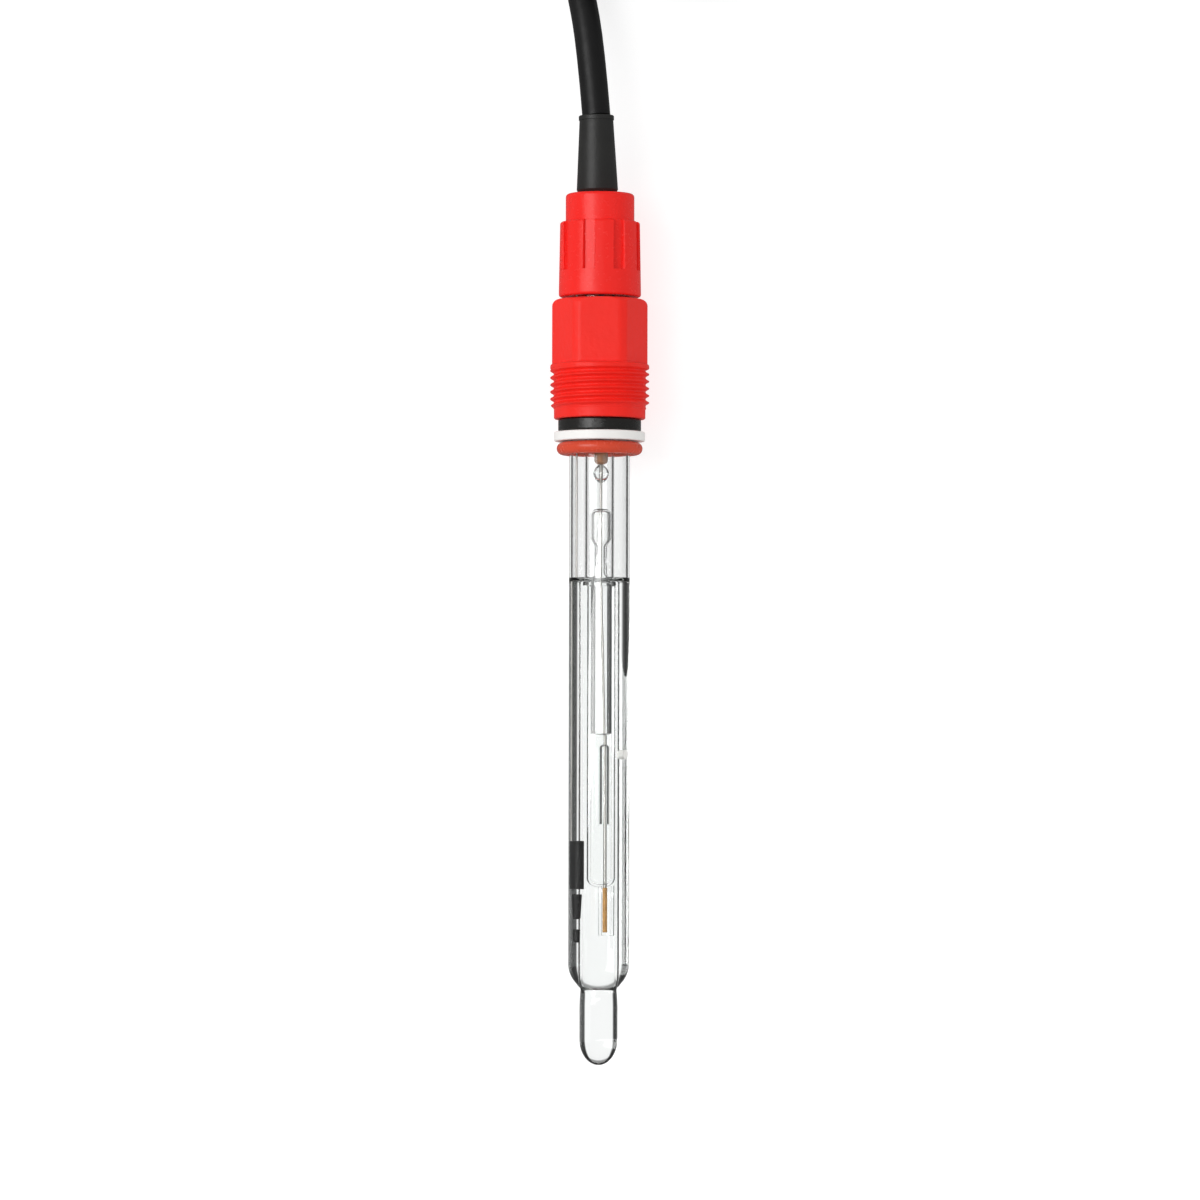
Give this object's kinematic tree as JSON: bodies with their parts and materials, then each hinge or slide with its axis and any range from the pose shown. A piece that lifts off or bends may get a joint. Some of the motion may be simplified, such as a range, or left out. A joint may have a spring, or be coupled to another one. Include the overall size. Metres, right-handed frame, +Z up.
{
  "type": "ph electrode",
  "caption": "Glass combination pH electrode with a threaded red hexagonal gland, a fluted red cap, sealing rings and a black cable to a bayonet plug.",
  "frame": {"origin": "on the electrode's own axis, at the sealing face under the thread (the lower end face of the gland)", "axes": "+Z up. The electrode lies on its side along Y, bulb towards -Y and cable towards +Y, with its axis tilted up by 2 degrees towards +Y, because it rests on the edge of its thread and on the end of its glass shaft"},
  "size_m": [0.0541, 0.4035, 0.0246],
  "materials": {
    "red_plastic": "fine satin",
    "black_rubber": "satin",
    "black_cable": "satin",
    "black_plastic": "satin",
    "white_plastic": "satin",
    "orange_rubber": "satin",
    "clear_glass": "polished",
    "liquid": "clear liquid",
    "silver": "drawn wire",
    "silver_chloride": "rough",
    "copper": "dull",
    "ceramic": "porous",
    "nickel": "bright nickel",
    "gold": "bright",
    "potting_resin": "set resin"
  },
  "bodies": {
    "electrode": {"cap": "red_plastic", "strain_relief": "black_rubber", "cable_end": "black_cable", "cable": "black_cable", "cable_coil": "black_cable", "cable_tail": "black_cable", "coil_ties": "black_plastic", "collar_ring": "black_plastic", "thrust_washer": "white_plastic", "seal_ring": "orange_rubber", "outer_tube": "clear_glass", "inner_stem": "clear_glass", "membrane_bulb": "clear_glass", "element_tube": "clear_glass", "tip_tube": "clear_glass", "wire_capillary": "clear_glass", "seal_bead": "clear_glass", "reference_gel": "liquid", "inner_buffer": "liquid", "element_fill": "liquid", "silver_wire": "silver", "chloride_layer": "silver_chloride", "lead_splice": "copper", "measuring_lead": "black_plastic", "stem_plug": "black_rubber", "reference_plug": "black_rubber", "reference_pellets": "black_rubber", "reference_wire": "silver", "junction_pin": "ceramic", "potting": "potting_resin", "plug_body": "nickel", "plug_insulator": "white_plastic", "plug_pin": "gold", "plug_boot": "black_rubber"},
    "gland": {"hex_gland": "red_plastic"},
    "coupling_ring": {"plug_ring": "nickel"}
  },
  "joints": [
    {"name": "gland_spin", "type": "hinge", "parent": "electrode", "child": "gland", "pos_m": [0, 0.01199, 0.00042], "axis": [0, 0.9994, 0.0347], "continuous": true},
    {"name": "plug_ring_spin", "type": "hinge", "parent": "electrode", "child": "coupling_ring", "pos_m": [0.02149, 0.26682, -0.00188], "axis": [0.555, 0.8208, 0.135], "continuous": true}
  ]
}
